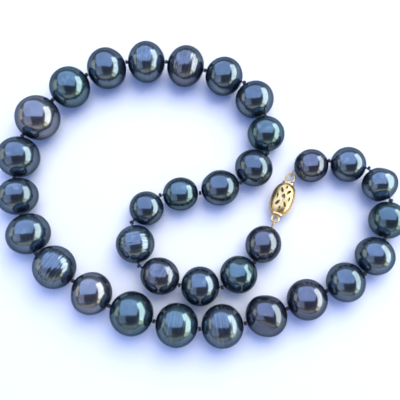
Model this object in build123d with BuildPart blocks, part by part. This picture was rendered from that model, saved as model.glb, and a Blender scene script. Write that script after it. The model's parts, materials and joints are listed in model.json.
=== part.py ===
from build123d import *
from math import cos, radians, sqrt
import os

# Clasped strand of graduated black pearls, laid out in two loops. Millimetres, +Z up.
# The strand lies on the plane Z = 0 and the origin is the middle of its footprint.
# One silk thread runs through 33 drilled pearls, with a knot on each side of every
# pearl, and both ends are closed by a pierced fish-hook clasp between wire guards.

# ---- strand ----
KNOTS = [  # hand-laid route of the thread: knot 0 is at the hook, knot 33 at the barrel
    (29.4, 5.4, 5.1), (40.7, 8.5, 5.5), (52.9, 6.0, 5.7), (58.9, -4.5, 5.8), (55.9, -16.7, 6.1),
    (49.2, -27.2, 6.1), (37.6, -32.3, 6.0), (25.7, -37.5, 6.3), (13.3, -41.8, 6.5),
    (0.1, -43.4, 6.5), (-13.2, -41.2, 6.6), (-26.3, -36.8, 6.6), (-37.4, -29.4, 6.4),
    (-48.8, -21.3, 6.9), (-54.2, -9.3, 6.8), (-57.3, 2.5, 6.4), (-55.7, 16.2, 7.3),
    (-47.0, 28.5, 7.3), (-36.6, 37.7, 6.8), (-23.8, 42.2, 6.9), (-10.8, 42.2, 7.0),
    (1.8, 39.3, 6.7), (14.5, 35.1, 6.4), (20.9, 23.5, 6.2), (21.3, 10.8, 6.1), (12.8, 1.2, 6.0),
    (0.2, -2.0, 5.4), (-12.1, -2.6, 5.1), (-20.6, -11.5, 5.9), (-18.0, -24.9, 6.0),
    (-5.9, -30.6, 5.8), (6.7, -31.3, 6.1), (16.5, -23.7, 5.5), (22.2, -12.6, 5.4),
]
PEARLS = [  # form and width of each pearl, from the hook end to the barrel end
    ("round", 10.6), ("round", 11.2), ("drop", 11.5), ("round", 11.8), ("round", 12.2),
    ("round", 12.1), ("round", 12.3), ("drop", 12.8), ("circled", 13.0), ("circled", 13.1),
    ("round", 13.2), ("drop", 12.9), ("circled", 13.1), ("round", 13.7), ("round", 12.9),
    ("round", 13.6), ("round", 14.6), ("round", 13.6), ("round", 13.7), ("circled", 13.7),
    ("circled", 13.7), ("round", 12.8), ("round", 12.6), ("round", 11.9), ("round", 12.1),
    ("round", 11.2), ("round", 10.5), ("round", 10.7), ("circled", 11.9), ("round", 11.2),
    ("round", 11.9), ("drop", 11.4), ("round", 10.9),
]
BORE = 1.0                # drilled hole through each pearl
BORE_CHAMFER = 0.2        # eased edge of the hole
THREAD = 0.7              # silk thread
KNOT = 1.2                # tied knot
KNOT_CLEARANCE = 0.08     # between a knot and a thread that turns about it
GAP = 0.8                 # least space between two pearls that share a knot
PEARL_CLEARANCE = 0.45    # kept between two pearls where the strand bends sharply
END_GAP = 0.9             # space beyond the last pearl at each end
OUTLINE_ARCS = 6          # arcs that make up each quarter of a pearl's outline
DROP_SHIFT = 0.12         # a drop's widest place, as a fraction of its half length
GROOVE_DEPTH = 0.22       # rings that circle some pearls
GROOVE_RADIUS = 0.55
GROOVE_PLACES = (-0.45, -0.12, 0.25, 0.55)   # along the half length
SILK = {  # each stiff group of the thread: its pearls, and the knots that belong to it
    "silk_anchors": ((5, 9, 25, 33), (4, 5, 8, 9, 24, 25, 32)),
    "silk_04": ((4,), (3,)),
    "silk_03": ((3,), (2,)),
    "silk_02": ((2,), (1,)),
    "silk_01": ((1,), ()),
    "silk_right_06_08": ((6, 7, 8), (6, 7)),
    "silk_outer_10_24": ((10, 24), (10, 23)),
    "silk_outer_11_23": ((11, 23), (11, 22)),
    "silk_outer_12_22": ((12, 22), (12, 21)),
    "silk_outer_13_21": ((13, 21), (13, 20)),
    "silk_outer_14_20": ((14, 20), (14, 19)),
    "silk_outer_15_19": ((15, 19), (15, 18)),
    "silk_outer_16_18": ((16, 17, 18), (16, 17)),
    "silk_inner_26_32": ((26, 32), (26, 31)),
    "silk_inner_27_31": ((27, 31), (27, 30)),
    "silk_inner_28_30": ((28, 29, 30), (28, 29)),
}

# ---- clasp ----
CLASP_HEIGHT = 4.2        # middle of the barrel above the table
BARREL_LENGTH = 10.0
BARREL_HALF_WIDTH = 3.5
BARREL_HALF_HEIGHT = 2.4
BARREL_TAPER_LENGTH = 5.6   # where the egg shape would close
EGG_POWER = 2.4           # how long the barrel keeps its full size before it narrows
WIDTH_POWER = 0.45        # how bluntly its sides close
HEIGHT_POWER = 0.4
STATION_COUNT = 9         # sections that the barrel is drawn through
WALL = 0.45
PIERCINGS = [  # along, across, length, width, turn of each opening
    (0.0, 0.0, 2.2, 1.3, 0), (2.1, 1.1, 1.9, 0.9, 30), (2.1, -1.1, 1.9, 0.9, -30),
    (-2.1, 1.1, 1.9, 0.9, -30), (-2.1, -1.1, 1.9, 0.9, 30), (0.0, 1.9, 1.8, 0.7, 0),
    (0.0, -1.9, 1.8, 0.7, 0), (3.5, 0.0, 1.1, 0.7, 0), (-3.5, 0.0, 1.1, 0.7, 0),
]
CAP = 0.5                 # thickness of the mouth collar and the end cap
CAP_LIP = 0.1             # how far each stands out from the shell's end
MOUTH = (2.6, 1.7)        # opening that the hook passes
MOUTH_CORNER = 0.3
RING_WIRE = 0.6
HOOK_RING_RADIUS = 1.3    # to the middle of the wire
HOOK_RING_SPACE = 0.1     # between the tongue and the ring's wire
END_RING_RADIUS = 1.1
LUG = (1.0, 0.6)          # block that joins the hook's ring to its tongue
LUG_LENGTH = 0.35
LUG_CORNER = 0.15
TONGUE_WIDTH = 1.8
TONGUE_HALF_HEIGHT = 0.6
SHEET = 0.4               # thickness of the tongue and the blade
TONGUE_OUTER_END = 5.7    # along the clasp, from its middle
TONGUE_NOSE = -3.2
NOSE_LENGTH = 0.6
NOSE_FILLET = 0.25
BLADE_START = TONGUE_NOSE + NOSE_LENGTH + 0.1   # just clear of the folded nose
BLADE_END = 3.2
BLADE_CORNER = 0.4
GUARD_WIRE = 0.6          # coiled wire that guards the silk at the clasp
GUARD_HALF_LOOP = 0.75
GUARD_FOOT = 0.31         # from the middle of the loop to each end of its wire
GUARD_SHOULDER = 0.5      # length over which the loop opens out
GUARD_FOOT_BEND = 0.3
GUARD_BEND = 0.7
GUARD_CLEARANCE = 0.08    # between a guard and the ring that it holds
GUARD_INSET = 0.1         # from the thread's end to the foot of a guard

route = [Vector(*knot) for knot in KNOTS]


def run(index):
    """Direction of the thread through a pearl, 1 to 33."""
    return (route[index] - route[index - 1]).normalized()


def gap_at(index):
    """Space between the two pearls at a knot: a sharper bend holds them further apart."""
    if index in (0, len(PEARLS)):
        return END_GAP
    half_bend = radians(run(index).get_angle(run(index + 1))) / 2
    radius = (PEARLS[index - 1][1] + PEARLS[index][1]) / 4
    return max(GAP, 2 * ((radius + PEARL_CLEARANCE / 2) / cos(half_bend) - radius))


def save(solid, name):
    solid.label = name
    export_step(solid, f"parts/{name}.step")


def make_pearl(index):
    """One drilled pearl, turned about its hole and centred between its two knots."""
    form, width = PEARLS[index - 1]
    along = run(index)
    near = route[index - 1] + along * (gap_at(index - 1) / 2)
    far = route[index] - along * (gap_at(index) / 2)
    half_length = (far - near).length / 2
    shift = DROP_SHIFT * half_length if form == "drop" else 0
    side = Vector(0, 0, 1).cross(along).normalized()
    plane = Plane(origin=(near + far) / 2, x_dir=along, z_dir=side)
    radius = width / 2
    rim = BORE / 2 + BORE_CHAMFER
    arc = 90 / OUTLINE_ARCS
    with BuildPart() as pearl:
        with BuildSketch(plane):
            with BuildLine():
                Line((-half_length, 0), (half_length, 0))
                for step in range(OUTLINE_ARCS):
                    EllipticalCenterArc(
                        (shift, 0), half_length - shift, radius, arc * step, arc_size=arc)
                    EllipticalCenterArc(
                        (shift, 0), half_length + shift, radius, 90 + arc * step, arc_size=arc)
            make_face()
            with BuildLine():
                Polyline(
                    (-half_length, 0), (-half_length, rim), (BORE_CHAMFER - half_length, BORE / 2),
                    (half_length - BORE_CHAMFER, BORE / 2), (half_length, rim), (half_length, 0),
                    close=True,
                )
            make_face(mode=Mode.SUBTRACT)
            if form == "circled":
                for place in GROOVE_PLACES:
                    height = radius * sqrt(1 - place**2) + GROOVE_RADIUS - GROOVE_DEPTH
                    with Locations((place * half_length, height)):
                        Circle(GROOVE_RADIUS, mode=Mode.SUBTRACT)
        revolve(axis=Axis(plane.origin, along))
    save(pearl.part, f"pearl_{index:02d}")


def make_silk(name):
    """Thread through some pearls, each run turned in one piece with the knots it carries."""
    pearls, knots = SILK[name]
    ball, thin = KNOT / 2, THREAD / 2
    neck = sqrt(ball**2 - thin**2)    # from a knot's middle to where the thread leaves it
    with BuildPart() as silk:
        for index in pearls:
            along = run(index)
            side = Vector(0, 0, 1).cross(along).normalized()
            length = (route[index] - route[index - 1]).length
            starts_with_knot = index - 1 in knots and index - 1 not in pearls
            low = neck if starts_with_knot else ball + KNOT_CLEARANCE
            high = length - neck if index in knots else length - ball - KNOT_CLEARANCE
            first = -ball if starts_with_knot else low
            with BuildSketch(Plane(route[index - 1], x_dir=along, z_dir=side)):
                with BuildLine():
                    if starts_with_knot:
                        ThreePointArc((first, 0), (0, ball), (low, thin))
                    else:
                        Line((first, 0), (low, thin))
                    Line((low, thin), (high, thin))
                    if index in knots:
                        ThreePointArc((high, thin), (length, ball), (length + ball, 0))
                        Line((length + ball, 0), (first, 0))
                    else:
                        Line((high, thin), (high, 0))
                        Line((high, 0), (first, 0))
                make_face()
            revolve(axis=Axis(route[index - 1], along), mode=Mode.ADD)
    save(silk.part, name)


os.makedirs("parts", exist_ok=True)
for number in range(1, len(PEARLS) + 1):
    make_pearl(number)
for group in SILK:
    make_silk(group)

# ---- clasp: X runs from the barrel's closed end to its mouth ----
hook_end, barrel_end = route[0], route[-1]
across = Vector(hook_end.X - barrel_end.X, hook_end.Y - barrel_end.Y, 0)
middle = (hook_end + barrel_end) / 2
flat = Plane(origin=(middle.X, middle.Y, CLASP_HEIGHT), x_dir=across, z_dir=(0, 0, 1))
upright = Plane(flat.origin, x_dir=flat.x_dir, z_dir=-flat.y_dir)


def section(distance):
    """Plane across the clasp, its X along the width and its Y up."""
    return Plane(flat.origin + flat.x_dir * distance, x_dir=flat.y_dir, z_dir=flat.x_dir)


def egg_size(distance):
    """Half width and half height of the barrel at a distance from its middle."""
    fill = 1 - abs(distance / BARREL_TAPER_LENGTH) ** EGG_POWER
    return BARREL_HALF_WIDTH * fill**WIDTH_POWER, BARREL_HALF_HEIGHT * fill**HEIGHT_POWER


def make_shell(name, kept):
    """Upper or lower half of the hollow, pierced barrel."""
    spacing = BARREL_LENGTH / (STATION_COUNT - 1)
    stations = [spacing * step - BARREL_LENGTH / 2 for step in range(STATION_COUNT)]
    with BuildPart() as shell:
        for station in stations:
            with BuildSketch(section(station)):
                Ellipse(*egg_size(station))
        loft()
        for station in stations:
            half_width, half_height = egg_size(station)
            with BuildSketch(section(station)):
                Ellipse(half_width - WALL, half_height - WALL)
        loft(mode=Mode.SUBTRACT)
        split(bisect_by=flat, keep=kept)
        with BuildSketch(flat):
            for along, side, length, width, turn in PIERCINGS:
                with Locations(Location((along, side, 0), (0, 0, turn))):
                    Ellipse(length / 2, width / 2)
        extrude(amount=BARREL_HALF_HEIGHT * 2, both=True, mode=Mode.SUBTRACT)
    save(shell.part, name)


make_shell("barrel_top_shell", Keep.TOP)
make_shell("barrel_bottom_shell", Keep.BOTTOM)

end_half_width, end_half_height = egg_size(BARREL_LENGTH / 2)
with BuildPart() as mouth_collar:
    with BuildSketch(section(BARREL_LENGTH / 2)):
        Ellipse(end_half_width + CAP_LIP, end_half_height + CAP_LIP)
        RectangleRounded(*MOUTH, MOUTH_CORNER, mode=Mode.SUBTRACT)
    extrude(amount=CAP)
save(mouth_collar.part, "mouth_collar")

# The end ring's wire is sunk by half its own radius into the cap.
end_ring_middle = -(BARREL_LENGTH / 2 + CAP + END_RING_RADIUS + RING_WIRE / 4)
with BuildPart() as barrel_end_ring:
    with BuildSketch(section(-BARREL_LENGTH / 2)):
        Ellipse(end_half_width + CAP_LIP, end_half_height + CAP_LIP)
    extrude(amount=-CAP)
    with Locations(flat * Location((end_ring_middle, 0, 0))):
        Torus(END_RING_RADIUS, RING_WIRE / 2)
save(barrel_end_ring.part, "barrel_end_ring")

hook_ring_middle = TONGUE_OUTER_END + HOOK_RING_SPACE + RING_WIRE / 2 + HOOK_RING_RADIUS
with BuildPart() as hook_ring:
    with Locations(flat * Location((hook_ring_middle, 0, 0))):
        Torus(HOOK_RING_RADIUS, RING_WIRE / 2)
    with BuildSketch(section(TONGUE_OUTER_END)):
        RectangleRounded(*LUG, LUG_CORNER)
    extrude(amount=LUG_LENGTH)
save(hook_ring.part, "hook_ring")

with BuildPart() as hook_tongue:
    under, over = -TONGUE_HALF_HEIGHT, TONGUE_HALF_HEIGHT
    nose_end = TONGUE_NOSE + NOSE_LENGTH
    with BuildSketch(upright):
        with BuildLine():
            Polyline(
                (TONGUE_OUTER_END, under), (TONGUE_NOSE, under), (TONGUE_NOSE, over),
                (nose_end, over), (nose_end, under + SHEET), (TONGUE_OUTER_END, under + SHEET),
                close=True,
            )
        make_face()
    extrude(amount=TONGUE_WIDTH / 2, both=True)
    cross_edges = hook_tongue.edges().filter_by(Axis(flat.origin, flat.y_dir))
    fillet(cross_edges.sort_by(Axis(flat.origin, flat.x_dir))[:2], NOSE_FILLET)
save(hook_tongue.part, "hook_tongue")

with BuildPart() as hook_spring_blade:
    blade_plane = Plane(
        flat.origin + flat.z_dir * (TONGUE_HALF_HEIGHT - SHEET), x_dir=flat.x_dir,
        z_dir=flat.z_dir)
    with BuildSketch(blade_plane):
        with Locations(((BLADE_START + BLADE_END) / 2, 0)):
            RectangleRounded(BLADE_END - BLADE_START, TONGUE_WIDTH, BLADE_CORNER)
    extrude(amount=SHEET)
save(hook_spring_blade.part, "hook_spring_blade")


def make_guard(name, hole, ring_link):
    """Wire loop from a pearl's hole round the wire of a clasp ring."""
    toward = (ring_link - hole).normalized()
    side = Vector(0, 0, 1).cross(toward).normalized()
    reach = (ring_link - hole).length + RING_WIRE / 2 + GUARD_CLEARANCE + GUARD_WIRE / 2
    with BuildPart() as guard:
        with BuildLine(Plane(hole, x_dir=toward, z_dir=side)):
            path = FilletPolyline(
                (0, GUARD_FOOT), (GUARD_SHOULDER, GUARD_HALF_LOOP), (reach, GUARD_HALF_LOOP),
                (reach, -GUARD_HALF_LOOP), (GUARD_SHOULDER, -GUARD_HALF_LOOP), (0, -GUARD_FOOT),
                radius=[GUARD_FOOT_BEND, GUARD_BEND, GUARD_BEND, GUARD_FOOT_BEND],
            )
        with BuildSketch(Plane(path @ 0, z_dir=path % 0)):
            Circle(GUARD_WIRE / 2)
        sweep()
    save(guard.part, name)


hook_link = flat.origin + flat.x_dir * (hook_ring_middle + HOOK_RING_RADIUS)
barrel_link = flat.origin + flat.x_dir * (end_ring_middle - END_RING_RADIUS)
make_guard("wire_guard_hook_end", hook_end + run(1) * GUARD_INSET, hook_link)
make_guard("wire_guard_barrel_end", barrel_end - run(33) * GUARD_INSET, barrel_link)
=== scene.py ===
import json
from math import cos, hypot, pi, radians, sin, sqrt, tau

import bpy
from mathutils import Matrix, Vector


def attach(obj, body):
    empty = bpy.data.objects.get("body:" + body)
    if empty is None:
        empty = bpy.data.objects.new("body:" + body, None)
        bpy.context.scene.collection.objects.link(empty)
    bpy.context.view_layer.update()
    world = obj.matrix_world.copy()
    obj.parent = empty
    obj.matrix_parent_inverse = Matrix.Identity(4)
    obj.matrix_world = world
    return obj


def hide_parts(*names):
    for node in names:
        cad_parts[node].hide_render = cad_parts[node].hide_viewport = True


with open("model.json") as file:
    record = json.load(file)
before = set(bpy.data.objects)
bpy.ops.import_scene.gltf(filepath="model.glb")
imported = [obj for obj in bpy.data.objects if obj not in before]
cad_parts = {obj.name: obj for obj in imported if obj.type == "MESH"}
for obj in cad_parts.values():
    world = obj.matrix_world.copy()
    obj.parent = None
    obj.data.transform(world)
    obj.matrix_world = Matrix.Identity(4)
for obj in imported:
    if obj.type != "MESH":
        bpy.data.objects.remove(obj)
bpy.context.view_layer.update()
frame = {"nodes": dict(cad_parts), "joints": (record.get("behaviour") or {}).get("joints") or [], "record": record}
JOINTS = {joint["name"]: joint for joint in frame["joints"]}
BODY_OF = {
    node: body
    for body, nodes in frame["record"]["behaviour"]["bodies"].items()
    for node in nodes
}

bl_info = {
    "name": "Pearl strand",
    "version": (1, 0, 0),
    "blender": (4, 5, 0),
    "location": "3D View > Sidebar > Pearl strand",
    "description": "Pearls, knotted silk and a filigree clasp around a packed necklace model",
    "category": "Add Mesh",
}

MM = 0.001
ROUTE = [  # the thread's knots, from the hook end to the barrel end
    Vector(knot) * MM for knot in (
        (29.4, 5.4, 5.1), (40.7, 8.5, 5.5), (52.9, 6.0, 5.7), (58.9, -4.5, 5.8),
        (55.9, -16.7, 6.1), (49.2, -27.2, 6.1), (37.6, -32.3, 6.0), (25.7, -37.5, 6.3),
        (13.3, -41.8, 6.5), (0.1, -43.4, 6.5), (-13.2, -41.2, 6.6), (-26.3, -36.8, 6.6),
        (-37.4, -29.4, 6.4), (-48.8, -21.3, 6.9), (-54.2, -9.3, 6.8), (-57.3, 2.5, 6.4),
        (-55.7, 16.2, 7.3), (-47.0, 28.5, 7.3), (-36.6, 37.7, 6.8), (-23.8, 42.2, 6.9),
        (-10.8, 42.2, 7.0), (1.8, 39.3, 6.7), (14.5, 35.1, 6.4), (20.9, 23.5, 6.2),
        (21.3, 10.8, 6.1), (12.8, 1.2, 6.0), (0.2, -2.0, 5.4), (-12.1, -2.6, 5.1),
        (-20.6, -11.5, 5.9), (-18.0, -24.9, 6.0), (-5.9, -30.6, 5.8), (6.7, -31.3, 6.1),
        (16.5, -23.7, 5.5), (22.2, -12.6, 5.4),
    )
]
PEARLS = [  # form and overtone of each pearl along the route
    ("round", "aubergine"), ("round", "slate"), ("dented", "slate"), ("round", "teal"),
    ("round", "slate"), ("round", "slate"), ("round", "aubergine"), ("heart", "aubergine"),
    ("faint", "slate"), ("faint", "teal"), ("round", "teal"), ("drop", "bronze"),
    ("circled", "slate"), ("round", "slate"), ("round", "slate"), ("round", "slate"),
    ("round", "bronze"), ("round", "teal"), ("round", "slate"), ("faint", "slate"),
    ("ribbed", "aubergine"), ("round", "slate"), ("round", "slate"), ("round", "teal"),
    ("round", "slate"), ("round", "slate"), ("round", "teal"), ("round", "slate"),
    ("circled", "slate"), ("faint", "aubergine"), ("round", "slate"), ("swirled", "teal"),
    ("round", "aubergine"),
]
# The model's node, the pearls that it threads and the knots that it carries.
SILK = {
    "silk_anchors": ((5, 9, 25, 33), (4, 5, 8, 9, 24, 25, 32)),
    "silk_04": ((4,), (3,)),
    "silk_03": ((3,), (2,)),
    "silk_02": ((2,), (1,)),
    "silk_01": ((1,), ()),
    "silk_right_06_08": ((6, 7, 8), (6, 7)),
    "silk_outer_10_24": ((10, 24), (10, 23)),
    "silk_outer_11_23": ((11, 23), (11, 22)),
    "silk_outer_12_22": ((12, 22), (12, 21)),
    "silk_outer_13_21": ((13, 21), (13, 20)),
    "silk_outer_14_20": ((14, 20), (14, 19)),
    "silk_outer_15_19": ((15, 19), (15, 18)),
    "silk_outer_16_18": ((16, 17, 18), (16, 17)),
    "silk_inner_26_32": ((26, 32), (26, 31)),
    "silk_inner_27_31": ((27, 31), (27, 30)),
    "silk_inner_28_30": ((28, 29, 30), (28, 29)),
}


# ---- settings ----

class PearlSettings(bpy.types.PropertyGroup):
    """Mesh and surface of the pearls."""
    segments: bpy.props.IntProperty(
        name="Segments", description="Divisions around the drilled axis", default=96, min=24)
    rings: bpy.props.IntProperty(
        name="Rings", description="Divisions along the drilled axis", default=72, min=24)
    fine_rings: bpy.props.IntProperty(
        name="Fine rings", description="Divisions along a grooved pearl", default=132, min=48)
    bore: bpy.props.FloatProperty(
        name="Bore", description="Width of the drilled hole", default=1.0 * MM, unit="LENGTH")
    unevenness: bpy.props.FloatProperty(
        name="Unevenness", description="Depth of the slow waves in the nacre",
        default=0.16 * MM, unit="LENGTH")
    gloss: bpy.props.FloatProperty(
        name="Roughness", description="Roughness of the polished nacre",
        default=0.15, min=0, max=1, subtype="FACTOR")


class SilkSettings(bpy.types.PropertyGroup):
    """Thread and knots."""
    thread: bpy.props.FloatProperty(
        name="Thread", description="Thickness of the silk", default=0.7 * MM, unit="LENGTH")
    pitch: bpy.props.FloatProperty(
        name="Twist pitch", description="Length of one turn of the plies",
        default=1.9 * MM, unit="LENGTH")
    knot: bpy.props.FloatProperty(
        name="Knot", description="Width of a tied knot on a straight run",
        default=1.4 * MM, unit="LENGTH")
    colour: bpy.props.FloatVectorProperty(
        name="Silk colour", description="Colour of the silk", subtype="COLOR",
        size=3, min=0, max=1, default=(0.010, 0.010, 0.014))


class ClaspSettings(bpy.types.PropertyGroup):
    """Barrel, hook and wire guards."""
    gold: bpy.props.FloatVectorProperty(
        name="Gold", description="Colour of the barrel, rings and guards", subtype="COLOR",
        size=3, min=0, max=1, default=(0.92, 0.66, 0.30))
    pale_gold: bpy.props.FloatVectorProperty(
        name="Pale gold", description="Colour of the hook's sheet", subtype="COLOR",
        size=3, min=0, max=1, default=(0.82, 0.70, 0.50))


class StageSettings(bpy.types.PropertyGroup):
    """Floor, camera and light."""
    tilt: bpy.props.FloatProperty(
        name="Camera tilt", description="Angle of the view from straight down",
        default=radians(16), subtype="ANGLE")
    distance: bpy.props.FloatProperty(
        name="Camera distance", description="From the lens to the aim point",
        default=0.1968, unit="LENGTH")
    lens: bpy.props.FloatProperty(
        name="Lens", description="Focal length in millimetres on a 36 mm frame", default=55.8)
    floor: bpy.props.FloatVectorProperty(
        name="Floor", description="Colour of the floor", subtype="COLOR",
        size=3, min=0, max=1, default=(0.84, 0.88, 0.88))


# ---- small tools ----

def clear_selection():
    if bpy.context.mode != "OBJECT":
        bpy.ops.object.mode_set(mode="OBJECT")
    bpy.ops.object.select_all(action="DESELECT")


def only(piece):
    """Makes one object the selected and active one."""
    clear_selection()
    piece.select_set(True)
    bpy.context.view_layer.objects.active = piece
    return piece


def edit(piece):
    only(piece)
    bpy.ops.object.mode_set(mode="EDIT")
    bpy.ops.mesh.select_mode(type="VERT")
    bpy.ops.mesh.select_all(action="DESELECT")


def choose(piece, test):
    """Selects the vertices that pass a test of their place, in edit mode."""
    bpy.ops.mesh.select_all(action="DESELECT")
    bpy.ops.object.mode_set(mode="OBJECT")
    for vertex in piece.data.vertices:
        vertex.select = test(vertex.co)
    bpy.ops.object.mode_set(mode="EDIT")


def apply_modifiers(piece):
    only(piece)
    for modifier in list(piece.modifiers):
        bpy.ops.object.modifier_apply(modifier=modifier.name)


def settle(piece):
    """Puts the place into the mesh, so that the object sits at the origin."""
    only(piece)
    bpy.ops.object.transform_apply(location=True, rotation=True, scale=True)


def join(pieces, name):
    if len(pieces) == 1:
        pieces[0].name = name
        return pieces[0]
    clear_selection()
    for piece in pieces:
        piece.select_set(True)
    bpy.context.view_layer.objects.active = pieces[0]
    bpy.ops.object.join()
    pieces[0].name = name
    return pieces[0]


def copy_of(piece, name):
    twin = piece.copy()
    twin.data = piece.data.copy()
    twin.name = name
    bpy.context.scene.collection.objects.link(twin)
    return twin


def dress(piece, material, slot, *nodes):
    """Gives a finished piece its material and its place in the model."""
    piece.data.materials.clear()
    piece.data.materials.append(material)
    for polygon in piece.data.polygons:
        polygon.material_index = 0
    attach(piece, BODY_OF[nodes[0]])
    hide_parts(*nodes)
    if not piece.data.polygons:
        raise RuntimeError(f"{piece.name} has no faces")


def axes_along(direction, origin):
    """Matrix whose X runs along a direction, with Y level."""
    x = direction.normalized()
    y = Vector((0, 0, 1)).cross(x).normalized()
    z = x.cross(y)
    turn = Matrix((x, y, z)).transposed()
    return Matrix.Translation(origin) @ turn.to_4x4()


# ---- materials ----

def new_material(name):
    material = bpy.data.materials.new(name)
    material.use_nodes = True
    nodes, links = material.node_tree.nodes, material.node_tree.links
    return material, nodes, links, nodes["Principled BSDF"]


def add_socket(group, name, kind, default=None, out=False):
    socket = group.interface.new_socket(
        name=name, in_out="OUTPUT" if out else "INPUT", socket_type=kind)
    if default is not None:
        socket.default_value = default


def nacre_group():
    """Colour, roughness and height of nacre, from slow clouds, turned rings and small pits, with painted shade
    darkening the pits.
    """
    group = bpy.data.node_groups.new("nacre_surface", "ShaderNodeTree")
    for name in ("Body", "Overtone", "Bloom"):
        add_socket(group, name, "NodeSocketColor", (0.2, 0.2, 0.2, 1))
    add_socket(group, "Rings", "NodeSocketFloat", 0.0)
    add_socket(group, "Roughness", "NodeSocketFloat", 0.12)
    add_socket(group, "Color", "NodeSocketColor", out=True)
    add_socket(group, "Roughness", "NodeSocketFloat", out=True)
    add_socket(group, "Height", "NodeSocketFloat", out=True)
    nodes, links = group.nodes, group.links
    inlet, outlet = nodes.new("NodeGroupInput"), nodes.new("NodeGroupOutput")
    place = nodes.new("ShaderNodeTexCoord")
    wrap = nodes.new("ShaderNodeUVMap")
    wrap.uv_map = "UVMap"

    def noise(scale, detail, roughness=0.5):
        node = nodes.new("ShaderNodeTexNoise")
        node.inputs["Scale"].default_value = scale
        node.inputs["Detail"].default_value = detail
        node.inputs["Roughness"].default_value = roughness
        links.new(place.outputs["Object"], node.inputs["Vector"])
        return node

    def ramp(source, low, high):
        node = nodes.new("ShaderNodeMapRange")
        node.inputs["From Min"].default_value = low
        node.inputs["From Max"].default_value = high
        links.new(source, node.inputs["Value"])
        return node.outputs["Result"]

    def blend(factor, first, second):
        node = nodes.new("ShaderNodeMix")
        node.data_type = "RGBA"
        links.new(factor, node.inputs["Factor"])
        links.new(first, node.inputs["A"])
        links.new(second, node.inputs["B"])
        return node.outputs["Result"]

    def maths(operation, first, second):
        node = nodes.new("ShaderNodeMath")
        node.operation = operation
        for socket, value in zip(node.inputs, (first, second)):
            if isinstance(value, (int, float)):
                socket.default_value = value
            else:
                links.new(value, socket)
        return node.outputs["Value"]

    clouds = ramp(noise(150, 2).outputs["Fac"], 0.38, 0.64)
    wash = blend(clouds, inlet.outputs["Body"], inlet.outputs["Overtone"])
    patches = ramp(noise(320, 3).outputs["Fac"], 0.56, 0.78)
    bloom = blend(maths("MULTIPLY", patches, 0.55), wash, inlet.outputs["Bloom"])

    # Rings run round the drilled axis, so they follow the map's second coordinate.
    stretch = nodes.new("ShaderNodeMapping")
    stretch.inputs["Scale"].default_value = (0.3, 64, 1)
    links.new(wrap.outputs["UV"], stretch.inputs["Vector"])
    bands = nodes.new("ShaderNodeTexNoise")
    bands.inputs["Scale"].default_value = 1.0
    bands.inputs["Detail"].default_value = 2.0
    links.new(stretch.outputs["Vector"], bands.inputs["Vector"])
    band_mask = maths("MULTIPLY", ramp(bands.outputs["Fac"], 0.45, 0.68), inlet.outputs["Rings"])
    banded = blend(maths("MULTIPLY", band_mask, 0.5), bloom, inlet.outputs["Bloom"])

    pits = nodes.new("ShaderNodeTexVoronoi")
    pits.inputs["Scale"].default_value = 420
    links.new(place.outputs["Object"], pits.inputs["Vector"])
    rare = ramp(noise(130, 1).outputs["Fac"], 0.58, 0.66)
    pit = maths("MULTIPLY", ramp(pits.outputs["Distance"], 0.16, 0.05), rare)
    # Painted shade: the colour is darkened in the pits.
    dark = maths("SUBTRACT", 1.0, maths("MULTIPLY", pit, 0.6))
    shade = nodes.new("ShaderNodeVectorMath")
    shade.operation = "SCALE"
    links.new(banded, shade.inputs[0])
    links.new(dark, shade.inputs["Scale"])
    links.new(shade.outputs["Vector"], outlet.inputs["Color"])

    grain = noise(1500, 2)
    rough = maths("ADD", inlet.outputs["Roughness"], maths("MULTIPLY", pit, 0.25))
    rough = maths("ADD", rough, maths("MULTIPLY", ramp(grain.outputs["Fac"], 0.4, 0.7), 0.03))
    rough = maths("ADD", rough, maths("MULTIPLY", band_mask, 0.05))
    links.new(rough, outlet.inputs["Roughness"])

    height = maths("MULTIPLY", grain.outputs["Fac"], 0.06)
    height = maths("SUBTRACT", height, maths("MULTIPLY", pit, 0.8))
    height = maths("ADD", height, maths("MULTIPLY", maths(
        "MULTIPLY", bands.outputs["Fac"], inlet.outputs["Rings"]), 0.3))
    links.new(height, outlet.inputs["Height"])
    return group


OVERTONES = {  # body, overtone and bloom of each kind of dark nacre
    "teal": ((0.086, 0.136, 0.160), (0.112, 0.178, 0.204), (0.21, 0.29, 0.32)),
    "slate": ((0.098, 0.136, 0.170), (0.132, 0.178, 0.224), (0.25, 0.31, 0.37)),
    "aubergine": ((0.102, 0.122, 0.154), (0.144, 0.156, 0.198), (0.25, 0.28, 0.33)),
    "bronze": ((0.168, 0.186, 0.212), (0.218, 0.228, 0.268), (0.36, 0.37, 0.40)),
}


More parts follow.
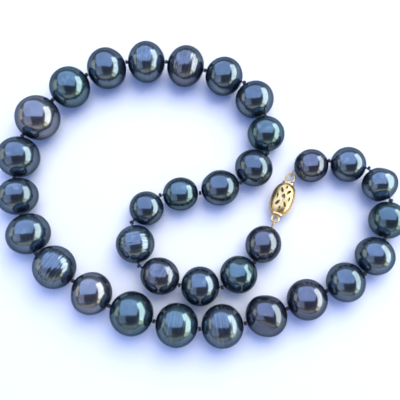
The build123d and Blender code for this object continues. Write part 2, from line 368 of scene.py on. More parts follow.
def nacre(overtone, ringed, settings):
    """Dark nacre under a thin clear skin, its colour brightest face on, with painted shade darkening it round the
    rim.
    """
    name = f"nacre_{overtone}_ringed" if ringed else f"nacre_{overtone}"
    if name in bpy.data.materials:
        return bpy.data.materials[name]
    material, nodes, links, shader = new_material(name)
    surface = nodes.new("ShaderNodeGroup")
    surface.node_tree = bpy.data.node_groups.get("nacre_surface") or nacre_group()
    for socket, colour in zip(("Body", "Overtone", "Bloom"), OVERTONES[overtone]):
        surface.inputs[socket].default_value = (*colour, 1)
    surface.inputs["Rings"].default_value = 1.0 if ringed else 0.0
    surface.inputs["Roughness"].default_value = settings.gloss
    # Painted shade: the colour is multiplied darker towards the rim, as the surface turns away from the view.
    facing = nodes.new("ShaderNodeLayerWeight")
    facing.inputs["Blend"].default_value = 0.5
    rim_shade_falloff = nodes.new("ShaderNodeMapRange")
    rim_shade_falloff.inputs["From Min"].default_value = 0.3
    rim_shade_falloff.inputs["From Max"].default_value = 0.8
    links.new(facing.outputs["Facing"], rim_shade_falloff.inputs["Value"])
    rim = nodes.new("ShaderNodeMix")
    rim.data_type = "RGBA"
    rim.blend_type = "MULTIPLY"
    rim.inputs["B"].default_value = (0.40, 0.47, 0.50, 1)
    links.new(rim_shade_falloff.outputs["Result"], rim.inputs["Factor"])
    links.new(surface.outputs["Color"], rim.inputs["A"])
    links.new(rim.outputs["Result"], shader.inputs["Base Color"])
    links.new(surface.outputs["Roughness"], shader.inputs["Roughness"])
    bump = nodes.new("ShaderNodeBump")
    bump.inputs["Strength"].default_value = 0.25
    bump.inputs["Distance"].default_value = 0.03 * MM
    links.new(surface.outputs["Height"], bump.inputs["Height"])
    links.new(bump.outputs["Normal"], shader.inputs["Normal"])
    shader.inputs["Metallic"].default_value = 0.9
    shader.inputs["Specular Tint"].default_value = (0.35, 0.38, 0.40, 1)
    shader.inputs["Coat Weight"].default_value = 0.18
    shader.inputs["Coat Roughness"].default_value = 0.08
    shader.inputs["Coat IOR"].default_value = 1.53
    return material


def metal(name, colour, roughness):
    """Polished metal whose roughness varies a little and which is darkened a little in slow patches."""
    if name in bpy.data.materials:
        return bpy.data.materials[name]
    material, nodes, links, shader = new_material(name)
    place = nodes.new("ShaderNodeTexCoord")
    patches = nodes.new("ShaderNodeTexNoise")
    patches.inputs["Scale"].default_value = 900
    patches.inputs["Detail"].default_value = 3
    links.new(place.outputs["Object"], patches.inputs["Vector"])
    tone = nodes.new("ShaderNodeMix")
    tone.data_type = "RGBA"
    tone.inputs["A"].default_value = (*colour, 1)
    tone.inputs["B"].default_value = (*(value * 0.72 for value in colour), 1)
    links.new(patches.outputs["Fac"], tone.inputs["Factor"])
    links.new(tone.outputs["Result"], shader.inputs["Base Color"])
    rough = nodes.new("ShaderNodeMapRange")
    rough.inputs["To Min"].default_value = roughness * 0.8
    rough.inputs["To Max"].default_value = roughness * 1.3
    links.new(patches.outputs["Fac"], rough.inputs["Value"])
    links.new(rough.outputs["Result"], shader.inputs["Roughness"])
    shader.inputs["Metallic"].default_value = 1
    return material


def silk(colour):
    """Matt, faintly fuzzy thread."""
    if "silk" in bpy.data.materials:
        return bpy.data.materials["silk"]
    material, nodes, links, shader = new_material("silk")
    place = nodes.new("ShaderNodeTexCoord")
    fibres = nodes.new("ShaderNodeTexNoise")
    fibres.inputs["Scale"].default_value = 6000
    links.new(place.outputs["Object"], fibres.inputs["Vector"])
    tone = nodes.new("ShaderNodeMix")
    tone.data_type = "RGBA"
    tone.inputs["A"].default_value = (*colour, 1)
    tone.inputs["B"].default_value = (*(value * 2.2 for value in colour), 1)
    links.new(fibres.outputs["Fac"], tone.inputs["Factor"])
    links.new(tone.outputs["Result"], shader.inputs["Base Color"])
    bump = nodes.new("ShaderNodeBump")
    bump.inputs["Strength"].default_value = 0.4
    bump.inputs["Distance"].default_value = 0.03 * MM
    links.new(fibres.outputs["Fac"], bump.inputs["Height"])
    links.new(bump.outputs["Normal"], shader.inputs["Normal"])
    shader.inputs["Roughness"].default_value = 0.62
    shader.inputs["Sheen Weight"].default_value = 0.12
    return material


# ---- pearls ----

BORE_CHAMFER = 0.2 * MM   # how far the drilled hole's edge widens
BORE_LEAD = 0.25 * MM     # and how deep the widening goes
SMOOTH_PEARL = radians(50)
SMOOTH_THREAD = radians(70)
SMOOTH_SHEET = radians(40)
PLIES = 3                 # strands twisted into the thread, and laps of a knot

def pearl_measure(index):
    """Middle, axis, half length and radius of a pearl, from its CAD node and joint."""
    name = f"pearl_{index:02d}"
    joint = JOINTS[f"{name}_spin"]
    middle, axis = Vector(joint["pos_m"]), Vector(joint["axis"]).normalized()
    half_length = radius = 0.0
    for vertex in frame["nodes"][name].data.vertices:
        offset = vertex.co - middle
        along = offset.dot(axis)
        half_length = max(half_length, abs(along))
        radius = max(radius, (offset - axis * along).length)
    return middle, axis, half_length, radius


def open_bore(piece, bore):
    """Cuts the caps at both poles and joins the rims into a drilled hole."""
    inner, outer = bore / 2, bore / 2 + BORE_CHAMFER
    choose(piece, lambda co: hypot(co.y, co.z) < outer)
    bpy.ops.mesh.delete(type="VERT")
    piece.update_from_editmode()
    edge = min(hypot(v.co.y, v.co.z) for v in piece.data.vertices)
    for side in (-1, 1):
        choose(piece, lambda co: hypot(co.y, co.z) < edge * 1.02 and co.x * side > 0)
        squeeze = outer / edge
        bpy.ops.transform.resize(value=(1, squeeze, squeeze), center_override=(0, 0, 0))
        bpy.ops.mesh.extrude_region_move(
            TRANSFORM_OT_translate={"value": (-side * BORE_LEAD, 0, 0)})
        squeeze = inner / outer
        bpy.ops.transform.resize(value=(1, squeeze, squeeze), center_override=(0, 0, 0))
    choose(piece, lambda co: hypot(co.y, co.z) < inner * 1.02)
    bpy.ops.mesh.bridge_edge_loops()


def groove(piece, place, half_length, depth, width):
    """Draws in the rings of vertices near a place along the axis."""
    bpy.ops.object.mode_set(mode="OBJECT")
    levels = sorted({round(v.co.x / half_length, 4) for v in piece.data.vertices})
    bpy.ops.object.mode_set(mode="EDIT")
    for level in levels:
        nearness = abs(level - place) / width
        if nearness < 1 and abs(level) < 0.93:
            squeeze = 1 - depth * cos(nearness * pi / 2) ** 2
            choose(piece, lambda co: abs(co.x / half_length - level) < 0.0006)
            bpy.ops.transform.resize(value=(1, squeeze, squeeze), center_override=(0, 0, 0))


def push(piece, direction, depth, reach, radius):
    """Presses a dent into the pearl around the point that faces a direction."""
    aim = Vector(direction).normalized()
    piece.update_from_editmode()
    best = max(piece.data.vertices, key=lambda v: v.co.normalized().dot(aim)).index
    bpy.ops.mesh.select_all(action="DESELECT")
    bpy.ops.object.mode_set(mode="OBJECT")
    piece.data.vertices[best].select = True
    bpy.ops.object.mode_set(mode="EDIT")
    bpy.ops.transform.translate(
        value=-aim * depth * radius, use_proportional_edit=True,
        proportional_edit_falloff="SMOOTH", proportional_size=reach * radius)


GROOVES = {  # place, depth and width of each turned ring, as fractions
    "circled": ((-0.52, 0.007, 0.07), (-0.36, 0.005, 0.06), (-0.17, 0.009, 0.08),
                (0.02, 0.006, 0.06), (0.16, 0.008, 0.075), (0.38, 0.007, 0.07),
                (0.57, 0.006, 0.07)),
    "ribbed": ((-0.60, 0.004, 0.08), (-0.38, 0.006, 0.08), (-0.14, 0.004, 0.07),
               (0.10, 0.006, 0.08), (0.33, 0.005, 0.07), (0.58, 0.006, 0.08)),
    "faint": ((-0.35, 0.003, 0.08), (0.05, 0.003, 0.09), (0.42, 0.003, 0.08)),
}
DENTS = {  # direction, depth and reach of each dent, in radii; X is the drilled axis
    "dented": (((0.1, 0.35, 0.9), 0.035, 0.6), ((-0.5, 0.6, 0.5), 0.07, 0.7),
               ((0.6, -0.5, 0.5), 0.05, 0.6), ((0.2, -0.7, -0.5), 0.08, 0.7)),
    "heart": (((0.55, 0.62, 0.45), 0.16, 1.0), ((-0.3, -0.8, 0.3), 0.06, 0.8),
              ((0.1, 0.8, -0.5), 0.08, 0.7)),
    "drop": (((0.7, 0.5, 0.3), 0.07, 0.9), ((0.7, -0.5, -0.2), 0.06, 0.8)),
    "swirled": (((0.3, 0.4, 0.8), 0.045, 0.42), ((-0.2, 0.1, 0.95), 0.04, 0.36),
                ((0.5, -0.2, 0.8), 0.035, 0.36), ((-0.6, -0.5, 0.5), 0.05, 0.6)),
}


def make_pearl(index, settings):
    form, overtone = PEARLS[index - 1]
    middle, axis, half_length, radius = pearl_measure(index)
    grooved = form in GROOVES
    clear_selection()
    bpy.ops.mesh.primitive_uv_sphere_add(
        segments=settings.segments, ring_count=settings.fine_rings if grooved else settings.rings,
        radius=1, rotation=(0, pi / 2, 0))
    pearl = bpy.context.object
    pearl.name = f"pearl_{index:02d}_nacre"
    settle(pearl)
    edit(pearl)
    bpy.ops.mesh.select_all(action="SELECT")
    bpy.ops.transform.resize(value=(half_length, radius, radius), center_override=(0, 0, 0))
    for place, depth, width in GROOVES.get(form, ()):
        groove(pearl, place, half_length, depth, width)
    open_bore(pearl, settings.bore)
    for direction, depth, reach in DENTS.get(form, ()):
        push(pearl, direction, depth, reach, radius)
    bpy.ops.mesh.select_all(action="SELECT")
    bpy.ops.mesh.normals_make_consistent(inside=False)
    bpy.ops.object.mode_set(mode="OBJECT")
    pearl.matrix_world = axes_along(axis, middle)
    settle(pearl)
    waves = pearl.modifiers.new("waves", "DISPLACE")
    waves.texture = wave_texture()
    waves.texture_coords = "GLOBAL"
    waves.mid_level = 1.0
    waves.strength = settings.unevenness
    apply_modifiers(pearl)
    only(pearl)
    bpy.ops.object.shade_smooth_by_angle(angle=SMOOTH_PEARL)
    dress(pearl, nacre(overtone, grooved, settings), "dark_pearl", f"pearl_{index:02d}")


def wave_texture():
    texture = bpy.data.textures.get("nacre_waves")
    if texture is None:
        texture = bpy.data.textures.new("nacre_waves", "CLOUDS")
        texture.noise_scale = 5.5 * MM
        texture.noise_depth = 1
    return texture


class NECKLACE_OT_pearls(bpy.types.Operator):
    """Make the drilled pearls, each with its own form and overtone"""
    bl_idname = "necklace.pearls"
    bl_label = "Pearls"

    def execute(self, context):
        for index in range(1, len(PEARLS) + 1):
            make_pearl(index, context.scene.pearl_settings)
        return {"FINISHED"}


# ---- silk ----

def twisted_thread(length, settings):
    """Plies twisted round X, from the origin."""
    plies = []
    for turn in range(PLIES):
        angle = tau * turn / PLIES
        reach = settings.thread * 0.23
        clear_selection()
        bpy.ops.mesh.primitive_circle_add(
            vertices=8, radius=settings.thread * 0.26, rotation=(0, pi / 2, 0),
            location=(0, reach * cos(angle), reach * sin(angle)))
        plies.append(bpy.context.object)
    thread = join(plies, "thread")
    settle(thread)
    turns = length / settings.pitch
    screw = thread.modifiers.new("twist", "SCREW")
    screw.axis = "X"
    screw.angle = turns * tau
    screw.screw_offset = length
    screw.steps = screw.render_steps = max(8, round(turns * 14))
    apply_modifiers(thread)
    return thread


def tied_knot(size):
    """A tight overhand knot: turns of thread lapped over one another."""
    turns = []
    for turn in range(PLIES):
        clear_selection()
        bpy.ops.mesh.primitive_torus_add(
            major_segments=28, minor_segments=10, major_radius=size * 0.30,
            minor_radius=size * 0.17, rotation=(0, pi / 2, 0))
        lap = bpy.context.object
        settle(lap)
        lap.matrix_world = Matrix.Rotation(tau * turn / PLIES, 4, "X") @ Matrix.Rotation(
            radians(38), 4, "Z")
        settle(lap)
        turns.append(lap)
    knot = join(turns, "knot")
    edit(knot)
    bpy.ops.mesh.select_all(action="SELECT")
    bpy.ops.transform.resize(value=(0.86, 1, 1), center_override=(0, 0, 0))
    bpy.ops.object.mode_set(mode="OBJECT")
    twist = knot.modifiers.new("twist", "SIMPLE_DEFORM")
    twist.deform_method = "TWIST"
    twist.deform_axis = "X"
    twist.angle = radians(60)
    apply_modifiers(knot)
    return knot


def make_silk(node, settings):
    pearls, knots = SILK[node]
    pieces = []
    for index in pearls:
        start, end = ROUTE[index - 1], ROUTE[index]
        inset = settings.knot * 0.42
        along = (end - start).normalized()
        thread = twisted_thread((end - start).length - 2 * inset, settings)
        thread.matrix_world = axes_along(along, start + along * inset)
        settle(thread)
        pieces.append(thread)
    for index in knots:
        before = (ROUTE[index] - ROUTE[index - 1]).normalized()
        after = (ROUTE[index + 1] - ROUTE[index]).normalized()
        bend = min(1.0, before.angle(after) / radians(50))
        knot = tied_knot(settings.knot * (1 + 0.08 * bend))
        knot.matrix_world = axes_along(before + after, ROUTE[index])
        settle(knot)
        pieces.append(knot)
    thread = join(pieces, f"{node}_thread")
    edit(thread)
    bpy.ops.mesh.select_all(action="SELECT")
    bpy.ops.mesh.normals_make_consistent(inside=False)
    bpy.ops.object.mode_set(mode="OBJECT")
    only(thread)
    bpy.ops.object.shade_smooth_by_angle(angle=SMOOTH_THREAD)
    dress(thread, silk(settings.colour), "dark_silk", node)


class NECKLACE_OT_silk(bpy.types.Operator):
    """Make the twisted silk and its knots, one piece for each stiff group"""
    bl_idname = "necklace.silk"
    bl_label = "Silk"

    def execute(self, context):
        for node in SILK:
            make_silk(node, context.scene.silk_settings)
        return {"FINISHED"}


# ---- clasp ----

CLASP_MIDDLE = Vector((25.8, -3.6, 4.2)) * MM
CLASP_AXIS = Vector((ROUTE[0].x - ROUTE[-1].x, ROUTE[0].y - ROUTE[-1].y, 0)).normalized()
BARREL_HALF_LENGTH = 5.0 * MM
RIM_WIRE = 0.085 * MM       # half the thickness of the wire round an opening
SHELL_WALL = 0.42 * MM
SHELL_STEPS = 28            # rings that draw out the barrel's skin
BEAD_RADIUS = 0.17 * MM
BEADS_PER_SIDE = 17
GUARD_HALF_WIDTH = 0.75 * MM
GUARD_BEND = 0.7 * MM
GUARD_PITCH = 0.2 * MM
HOOK_RING_PLACE = 8.7 * MM      # from the clasp's middle to the wires that the guards hold
BARREL_RING_PLACE = 7.85 * MM
GUARD_START = 0.1 * MM
GOLD_ROUGHNESS = 0.27
PALE_ROUGHNESS = 0.24
OPENINGS = [  # along, across, length, width, turn in degrees
    (0.0, 0.0, 2.2, 1.3, 0), (2.1, 1.1, 1.9, 0.9, 30), (2.1, -1.1, 1.9, 0.9, -30),
    (-2.1, 1.1, 1.9, 0.9, -30), (-2.1, -1.1, 1.9, 0.9, 30), (0.0, 1.9, 1.8, 0.7, 0),
    (0.0, -1.9, 1.8, 0.7, 0), (3.5, 0.0, 1.1, 0.7, 0), (-3.5, 0.0, 1.1, 0.7, 0),
]


def egg_size(distance):
    """Half width and half height of the barrel at a distance from its middle."""
    fill = 1 - abs(distance / (5.6 * MM)) ** 2.4
    return 3.5 * MM * fill**0.45, 2.4 * MM * fill**0.4


def barrel_skin(name):
    """Outer skin of the barrel, drawn out ring by ring from its closed end."""
    clear_selection()
    bpy.ops.mesh.primitive_circle_add(vertices=72, radius=1, rotation=(0, pi / 2, 0))
    skin = bpy.context.object
    skin.name = name
    settle(skin)
    edit(skin)
    bpy.ops.mesh.select_all(action="SELECT")
    width, height = egg_size(BARREL_HALF_LENGTH)
    bpy.ops.transform.resize(value=(1, width, height), center_override=(0, 0, 0))
    bpy.ops.transform.translate(value=(-BARREL_HALF_LENGTH, 0, 0))
    for step in range(1, SHELL_STEPS + 1):
        place = BARREL_HALF_LENGTH * (2 * step / SHELL_STEPS - 1)
        bpy.ops.mesh.extrude_region_move(
            TRANSFORM_OT_translate={"value": (2 * BARREL_HALF_LENGTH / SHELL_STEPS, 0, 0)})
        new_width, new_height = egg_size(place)
        bpy.ops.transform.resize(
            value=(1, new_width / width, new_height / height), center_override=(place, 0, 0))
        width, height = new_width, new_height
    bpy.ops.object.mode_set(mode="OBJECT")
    return skin


def opening_cutters():
    cutters = []
    for along, across, length, width, turn in OPENINGS:
        clear_selection()
        bpy.ops.mesh.primitive_cylinder_add(
            vertices=28, radius=0.5 * MM, depth=12 * MM, location=(along * MM, across * MM, 0),
            rotation=(0, 0, radians(turn)), scale=(length, width, 1))
        cutters.append(bpy.context.object)
    cutter = join(cutters, "openings")
    settle(cutter)
    return cutter


def opening_rims(skin, side):
    """Raised wire round each opening, projected onto the skin and drawn as a round wire."""
    rims = []
    for along, across, length, width, turn in OPENINGS:
        clear_selection()
        middle = (along * MM, across * MM, 0)
        bpy.ops.mesh.primitive_circle_add(vertices=36, radius=0.5 * MM, location=middle)
        rim = bpy.context.object
        settle(rim)
        edit(rim)
        bpy.ops.mesh.select_all(action="SELECT")
        bpy.ops.transform.resize(value=(length, width, 1), center_override=middle)
        bpy.ops.transform.rotate(value=-radians(turn), orient_axis="Z", center_override=middle)
        bpy.ops.object.mode_set(mode="OBJECT")
        lay = rim.modifiers.new("lay", "SHRINKWRAP")
        lay.wrap_method = "PROJECT"
        lay.use_project_z = True
        lay.use_positive_direction = side > 0
        lay.use_negative_direction = side < 0
        lay.target = skin
        apply_modifiers(rim)
        settle(rim)
        bpy.ops.object.convert(target="CURVE")
        bpy.context.object.data.bevel_depth = RIM_WIRE
        bpy.context.object.data.bevel_resolution = 2
        bpy.ops.object.convert(target="MESH")
        rims.append(bpy.context.object)
    return rims


def make_shell(node, side, settings):
    shell = barrel_skin(f"{node}_filigree")
    edit(shell)
    bpy.ops.mesh.select_all(action="SELECT")
    bpy.ops.mesh.normals_make_consistent(inside=False)
    bpy.ops.mesh.bisect(
        plane_co=(0, 0, 0), plane_no=(0, 0, side), clear_inner=True, clear_outer=False)
    bpy.ops.object.mode_set(mode="OBJECT")
    trims = opening_rims(shell, side) + seam_beads(side)
    wall = shell.modifiers.new("wall", "SOLIDIFY")
    wall.thickness = SHELL_WALL
    wall.offset = -1
    cutter = opening_cutters()
    holes = shell.modifiers.new("holes", "BOOLEAN")
    holes.operation = "DIFFERENCE"
    holes.solver = "EXACT"
    holes.object = cutter
    edge = shell.modifiers.new("edge", "BEVEL")
    edge.width = 0.05 * MM
    edge.segments = 2
    edge.limit_method = "ANGLE"
    edge.angle_limit = radians(50)
    apply_modifiers(shell)
    bpy.data.objects.remove(cutter)
    shell = join([shell, *trims], f"{node}_filigree")
    shell.matrix_world = axes_along(CLASP_AXIS, CLASP_MIDDLE)
    settle(shell)
    edit(shell)
    bpy.ops.mesh.select_all(action="SELECT")
    bpy.ops.mesh.normals_make_consistent(inside=False)
    bpy.ops.object.mode_set(mode="OBJECT")
    only(shell)
    bpy.ops.object.shade_smooth_by_angle(angle=SMOOTH_SHEET)
    dress(shell, metal("gold", settings.gold, GOLD_ROUGHNESS), "yellow_gold", node)


def seam_beads(side):
    """Row of small grains along the seam of the two halves, on the upper one."""
    beads = []
    if side < 0:
        return beads
    clear_selection()
    bpy.ops.mesh.primitive_ico_sphere_add(subdivisions=2, radius=BEAD_RADIUS)
    first = bpy.context.object
    edit(first)
    bpy.ops.mesh.select_all(action="SELECT")
    bpy.ops.transform.resize(value=(1.25, 1, 0.9), center_override=(0, 0, 0))
    bpy.ops.object.mode_set(mode="OBJECT")
    for edge in (-1, 1):
        for step in range(BEADS_PER_SIDE):
            place = BARREL_HALF_LENGTH * 0.94 * (2 * step / (BEADS_PER_SIDE - 1) - 1)
            width = egg_size(place)[0]
            bead = copy_of(first, "bead")
            bead.location = (place, edge * (width - 0.03 * MM), 0)
            settle(bead)
            beads.append(bead)
    bpy.data.objects.remove(first)
    return beads


def guard_path(hole, link):
    """Points along a loop from a pearl's hole round a ring's wire, with their directions."""
    toward = (link - hole).normalized()
    up = toward.cross(Vector((0, 0, 1)).cross(toward).normalized())
    half, bend = GUARD_HALF_WIDTH, GUARD_BEND
    reach = (link - hole).length + (0.3 + 0.08 + 0.3) * MM
    flat = [(0.0, 0.31 * MM), (0.5 * MM, half), (reach - bend, half)]
    flat += [(reach - bend + bend * sin(a), half - bend + bend * cos(a))
             for a in (pi / 10, pi / 5, 3 * pi / 10, 2 * pi / 5, pi / 2)]
    flat += [(x, -y) for x, y in reversed(flat)]
    points = [hole + toward * x + up * y for x, y in flat]
    travelled, placed = 0.0, []
    for first, second in zip(points, points[1:]):
        step = second - first
        while travelled <= step.length:
            placed.append((first + step.normalized() * travelled, step.normalized()))
            travelled += GUARD_PITCH
        travelled -= step.length
    return placed


def make_guard(node, hole, link, settings):
    clear_selection()
    bpy.ops.mesh.primitive_torus_add(
        major_segments=20, minor_segments=8, major_radius=0.175 * MM, minor_radius=0.095 * MM,
        rotation=(0, pi / 2, 0))
    first = bpy.context.object
    settle(first)
    edit(first)
    bpy.ops.mesh.select_all(action="SELECT")
    bpy.ops.transform.resize(value=(0.95, 1, 1), center_override=(0, 0, 0))
    bpy.ops.object.mode_set(mode="OBJECT")
    turns = []
    for place, direction in guard_path(hole, link):
        turn = copy_of(first, "turn")
        turn.matrix_world = axes_along(direction, place) @ Matrix.Rotation(radians(14), 4, "Y")
        settle(turn)
        turns.append(turn)
    bpy.data.objects.remove(first)
    guard = join(turns, f"{node}_coil")
    only(guard)
    bpy.ops.object.shade_smooth()
    dress(guard, metal("gold", settings.gold, GOLD_ROUGHNESS), "yellow_gold", node)


class NECKLACE_OT_clasp(bpy.types.Operator):
    """Make the pierced barrel and the coiled guards, and finish the hook, rings and collar"""
    bl_idname = "necklace.clasp"
    bl_label = "Clasp"

    def execute(self, context):
        settings = context.scene.clasp_settings
        make_shell("barrel_top_shell", 1, settings)
        make_shell("barrel_bottom_shell", -1, settings)
        start, end = ROUTE[0], ROUTE[-1]
        first_run = (ROUTE[1] - start).normalized()
        last_run = (end - ROUTE[-2]).normalized()
        make_guard(
            "wire_guard_hook_end", start + first_run * GUARD_START,
            CLASP_MIDDLE + CLASP_AXIS * HOOK_RING_PLACE, settings)
        make_guard(
            "wire_guard_barrel_end", end - last_run * GUARD_START,
            CLASP_MIDDLE - CLASP_AXIS * BARREL_RING_PLACE, settings)
        gold = metal("gold", settings.gold, GOLD_ROUGHNESS)
        pale = metal("pale_gold", settings.pale_gold, PALE_ROUGHNESS)
        for material, nodes in (
                (gold, ("mouth_collar", "barrel_end_ring", "hook_ring")),
                (pale, ("hook_tongue", "hook_spring_blade"))):
            for node in nodes:
                frame["nodes"][node].data.materials.clear()
                frame["nodes"][node].data.materials.append(material)
        return {"FINISHED"}


# ---- stage ----

AIM = Vector((0.2, -2.7, 0.0)) * MM     # where the camera looks
CARDS = {  # where a ball mirrors the card (left, right, low, high), radiance and colour
    "sky": (-0.50, 0.38, 0.00, 0.68, 1.9, (0.60, 0.76, 1.20)),
    "sky_leg": (-0.50, -0.20, -0.36, -0.01, 0.95, (0.72, 0.76, 1.0)),
    "window": (0.41, 0.66, -0.28, 0.55, 4.6, (1.0, 1.0, 0.90)),
    "lamp": (0.34, 0.54, -0.44, -0.28, 2.6, (1.0, 0.88, 0.42)),
    "table": (-0.36, 0.26, -0.58, -0.44, 0.65, (1.0, 0.74, 0.50)),
    "wall": (-0.72, -0.54, -0.10, 0.32, 1.2, (1.0, 0.90, 0.66)),
}
CARD_DISTANCE = 1.2
FLOOR_RADIUS = 0.7
SOFTBOXES = {  # direction, width, radiance and colour of the lights that fall on the floor
    "key": ((0.26, 0.42, 0.86), 1.1, 3.6, (1.04, 0.96, 0.82)),
    "soft_key": ((0.05, 0.20, 0.97), 1.8, 0.7, (1.02, 1.0, 0.92)),
}


def make_floor(settings):
    clear_selection()
    bpy.ops.mesh.primitive_circle_add(vertices=128, radius=FLOOR_RADIUS, fill_type="NGON")
    floor = bpy.context.object
    floor.name = "floor"
    material, nodes, links, shader = new_material("floor_paper")
    mottle = nodes.new("ShaderNodeTexNoise")
    mottle.inputs["Scale"].default_value = 9
    place = nodes.new("ShaderNodeTexCoord")
    links.new(place.outputs["Object"], mottle.inputs["Vector"])
    tint = nodes.new("ShaderNodeMix")
    tint.data_type = "RGBA"
    tint.inputs["A"].default_value = (*settings.floor, 1)
    tint.inputs["B"].default_value = (*(value * 0.97 for value in settings.floor), 1)
    links.new(mottle.outputs["Fac"], tint.inputs["Factor"])
    # The pearls mirror a duller, warmer floor than the one in view.
    rays = nodes.new("ShaderNodeLightPath")
    mirrored = nodes.new("ShaderNodeMix")
    mirrored.data_type = "RGBA"
    mirrored.inputs["B"].default_value = (0.70, 0.72, 0.64, 1)
    links.new(rays.outputs["Is Glossy Ray"], mirrored.inputs["Factor"])
    links.new(tint.outputs["Result"], mirrored.inputs["A"])
    links.new(mirrored.outputs["Result"], shader.inputs["Base Color"])
    shader.inputs["Roughness"].default_value = 0.7
    shader.inputs["Specular IOR Level"].default_value = 0.2
    floor.data.materials.append(material)


def mirrored(across, up, tilt):
    """Direction that a ball shows at a place on its face, in radii, to the tilted camera."""
    depth = sqrt(1 - across**2 - up**2)
    ray = Vector((2 * across * depth, 2 * up * depth, 2 * depth**2 - 1))
    return Matrix.Rotation(tilt, 3, "X") @ ray


def place_light(name, matrix, width, height, radiance, colour):
    """Area light whose power follows from its radiance and its area."""
    data = bpy.data.lights.new(name, "AREA")
    data.shape = "RECTANGLE"
    data.size, data.size_y = width, height
    data.energy = radiance * pi * width * height
    data.color = colour
    light = bpy.data.objects.new(name, data)
    light.matrix_world = matrix
    bpy.context.scene.collection.objects.link(light)
    return light


def make_card(name, tilt):
    """Card for the pearls to mirror, turned so that its edges stand straight in the mirror."""
    left, right, low, high, radiance, colour = CARDS[name]
    across, up = (left + right) / 2, (low + high) / 2
    z = mirrored(across, up, tilt)
    x = mirrored(right, up, tilt) - mirrored(left, up, tilt)
    x = (x - z * x.dot(z)).normalized()
    y = z.cross(x)

    def reach(edge, axis):
        return CARD_DISTANCE * edge.dot(axis) / edge.dot(z)

    from_x, to_x = reach(mirrored(left, up, tilt), x), reach(mirrored(right, up, tilt), x)
    from_y, to_y = reach(mirrored(across, low, tilt), y), reach(mirrored(across, high, tilt), y)
    middle = z * CARD_DISTANCE + x * (from_x + to_x) / 2 + y * (from_y + to_y) / 2
    matrix = Matrix.Translation(middle) @ Matrix((x, y, z)).transposed().to_4x4()
    card = place_light(name, matrix, to_x - from_x, to_y - from_y, radiance, colour)
    card.visible_diffuse = False


def make_softbox(name):
    """Light for the floor, which the pearls don't mirror."""
    direction, width, radiance, colour = SOFTBOXES[name]
    place = Vector(direction).normalized() * CARD_DISTANCE
    matrix = Matrix.Translation(place) @ place.to_track_quat("Z", "Y").to_matrix().to_4x4()
    softbox = place_light(name, matrix, width, width, radiance, colour)
    softbox.visible_glossy = False


def make_world():
    """A dim room for reflections, cool fill for shadows, and a white backdrop to the view."""
    world = bpy.data.worlds.new("studio")
    world.use_nodes = True
    bpy.context.scene.world = world
    nodes, links = world.node_tree.nodes, world.node_tree.links
    fill = nodes["Background"]
    fill.inputs["Color"].default_value = (0.25, 0.40, 1.12, 1)
    direction = nodes.new("ShaderNodeTexCoord")
    split = nodes.new("ShaderNodeSeparateXYZ")
    links.new(direction.outputs["Generated"], split.inputs["Vector"])
    height = nodes.new("ShaderNodeMapRange")
    height.inputs["From Min"].default_value = 0.25
    height.inputs["From Max"].default_value = 0.65
    links.new(split.outputs["Z"], height.inputs["Value"])
    tone = nodes.new("ShaderNodeMix")
    tone.data_type = "RGBA"
    tone.inputs["A"].default_value = (0.34, 0.38, 0.38, 1)
    tone.inputs["B"].default_value = (0.10, 0.08, 0.09, 1)
    links.new(height.outputs["Result"], tone.inputs["Factor"])
    room = nodes.new("ShaderNodeBackground")
    links.new(tone.outputs["Result"], room.inputs["Color"])
    backdrop = nodes.new("ShaderNodeBackground")
    backdrop.inputs["Color"].default_value = (0.97, 1.0, 0.99, 1)
    rays = nodes.new("ShaderNodeLightPath")
    glossy = nodes.new("ShaderNodeMixShader")
    links.new(rays.outputs["Is Glossy Ray"], glossy.inputs["Fac"])
    links.new(fill.outputs["Background"], glossy.inputs[1])
    links.new(room.outputs["Background"], glossy.inputs[2])
    choice = nodes.new("ShaderNodeMixShader")
    links.new(rays.outputs["Is Camera Ray"], choice.inputs["Fac"])
    links.new(glossy.outputs["Shader"], choice.inputs[1])
    links.new(backdrop.outputs["Background"], choice.inputs[2])
    links.new(choice.outputs["Shader"], nodes["World Output"].inputs["Surface"])


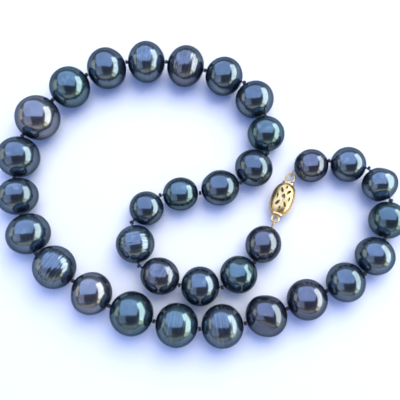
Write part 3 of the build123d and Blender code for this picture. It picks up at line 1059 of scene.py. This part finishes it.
def make_camera(settings):
    data = bpy.data.cameras.new("camera")
    data.lens = settings.lens
    data.sensor_width = 36
    data.clip_start = 0.01
    camera = bpy.data.objects.new("camera", data)
    camera.location = AIM + Vector((0, -sin(settings.tilt), cos(settings.tilt))) * settings.distance
    camera.rotation_euler = (settings.tilt, 0, 0)
    bpy.context.scene.collection.objects.link(camera)
    bpy.context.scene.camera = camera


class NECKLACE_OT_stage(bpy.types.Operator):
    """Make the floor, the lights, the backdrop and the camera"""
    bl_idname = "necklace.stage"
    bl_label = "Stage"

    def execute(self, context):
        settings = context.scene.stage_settings
        make_floor(settings)
        for name in CARDS:
            make_card(name, settings.tilt)
        for name in SOFTBOXES:
            make_softbox(name)
        make_world()
        make_camera(settings)
        context.scene.view_settings.view_transform = "Standard"
        return {"FINISHED"}


class NECKLACE_PT_panel(bpy.types.Panel):
    """Lists the pieces in the 3D view's sidebar"""
    bl_idname = "NECKLACE_PT_panel"
    bl_label = "Pearl strand"
    bl_space_type = "VIEW_3D"
    bl_region_type = "UI"
    bl_category = "Pearl strand"

    def draw(self, context):
        for operator in OPERATORS:
            self.layout.operator(operator.bl_idname)
        for name in SETTINGS:
            group = getattr(context.scene, name)
            for key in group.__annotations__:
                self.layout.prop(group, key)


OPERATORS = (NECKLACE_OT_pearls, NECKLACE_OT_silk, NECKLACE_OT_clasp, NECKLACE_OT_stage)
SETTINGS = {
    "pearl_settings": PearlSettings,
    "silk_settings": SilkSettings,
    "clasp_settings": ClaspSettings,
    "stage_settings": StageSettings,
}


def register():
    for name, group in SETTINGS.items():
        bpy.utils.register_class(group)
        setattr(bpy.types.Scene, name, bpy.props.PointerProperty(type=group))
    for operator in OPERATORS:
        bpy.utils.register_class(operator)
    bpy.utils.register_class(NECKLACE_PT_panel)


def unregister():
    bpy.utils.unregister_class(NECKLACE_PT_panel)
    for operator in reversed(OPERATORS):
        bpy.utils.unregister_class(operator)
    for name, group in SETTINGS.items():
        delattr(bpy.types.Scene, name)
        bpy.utils.unregister_class(group)


def main():
    register()
    bpy.ops.necklace.pearls()
    bpy.ops.necklace.silk()
    bpy.ops.necklace.clasp()
    bpy.ops.necklace.stage()


if __name__ == "__main__":
    main()
